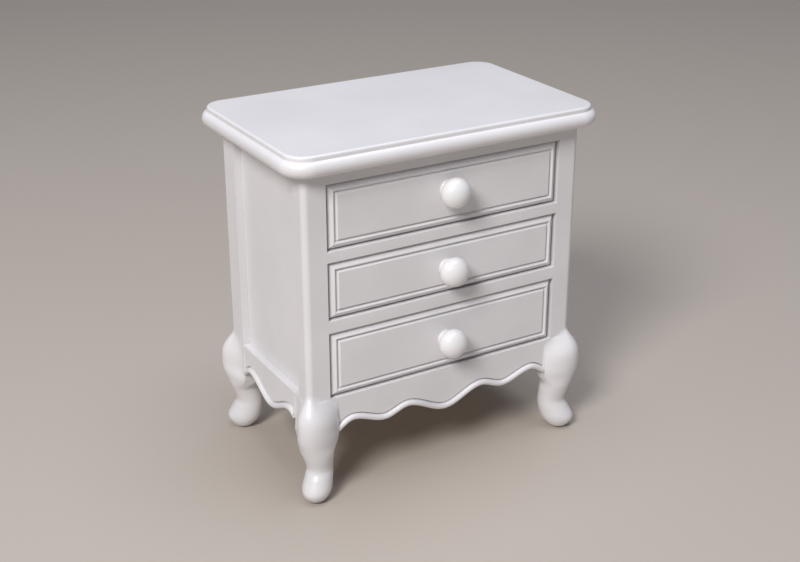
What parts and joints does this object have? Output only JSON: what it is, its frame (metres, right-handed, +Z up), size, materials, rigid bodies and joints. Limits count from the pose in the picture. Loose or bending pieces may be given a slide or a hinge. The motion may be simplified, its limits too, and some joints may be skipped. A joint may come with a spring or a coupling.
{
  "type": "miniature chest of drawers",
  "caption": "Small chest on curved cabriole legs with an overhanging moulded top, scalloped beaded aprons and panelled drawers that slide out by round knobs.",
  "frame": {"origin": "centre of the overall footprint, on the surface the feet stand on", "axes": "+Z up, the drawers open towards -Y, +X to the right seen from the front"},
  "size_m": [0.0564, 0.0368, 0.0586],
  "materials": {
    "white_paint": "satin off-white paint over close-grained wood",
    "knob_enamel": "gloss off-white enamel on turned wood",
    "bare_basswood": "bare sanded basswood"
  },
  "bodies": {
    "case": {"top_board": "white_paint", "front_left_leg": "white_paint", "front_right_leg": "white_paint", "rear_left_leg": "white_paint", "rear_right_leg": "white_paint", "front_apron": "white_paint", "left_side_apron": "white_paint", "right_side_apron": "white_paint", "rear_apron": "white_paint", "left_side_panel": "white_paint", "right_side_panel": "white_paint", "back_panel": "white_paint", "top_rail": "white_paint", "upper_drawer_rail": "white_paint", "lower_drawer_rail": "white_paint", "upper_dust_board": "bare_basswood", "lower_dust_board": "bare_basswood", "bottom_board": "bare_basswood", "top_left_guide": "bare_basswood", "top_right_guide": "bare_basswood", "middle_left_guide": "bare_basswood", "middle_right_guide": "bare_basswood", "bottom_left_guide": "bare_basswood", "bottom_right_guide": "bare_basswood"},
    "top_drawer": {"top_drawer_front": "white_paint", "top_drawer_left_side": "bare_basswood", "top_drawer_right_side": "bare_basswood", "top_drawer_back": "bare_basswood", "top_drawer_bottom": "bare_basswood", "top_drawer_knob": "knob_enamel"},
    "middle_drawer": {"middle_drawer_front": "white_paint", "middle_drawer_left_side": "bare_basswood", "middle_drawer_right_side": "bare_basswood", "middle_drawer_back": "bare_basswood", "middle_drawer_bottom": "bare_basswood", "middle_drawer_knob": "knob_enamel"},
    "bottom_drawer": {"bottom_drawer_front": "white_paint", "bottom_drawer_left_side": "bare_basswood", "bottom_drawer_right_side": "bare_basswood", "bottom_drawer_back": "bare_basswood", "bottom_drawer_bottom": "bare_basswood", "bottom_drawer_knob": "knob_enamel"}
  },
  "joints": [
    {"name": "top_drawer_slide", "type": "slide", "parent": "case", "child": "top_drawer", "axis": [0, -1, 0], "range_m": [0, 0.02]},
    {"name": "middle_drawer_slide", "type": "slide", "parent": "case", "child": "middle_drawer", "axis": [0, -1, 0], "range_m": [0, 0.02]},
    {"name": "bottom_drawer_slide", "type": "slide", "parent": "case", "child": "bottom_drawer", "axis": [0, -1, 0], "range_m": [0, 0.02]}
  ]
}
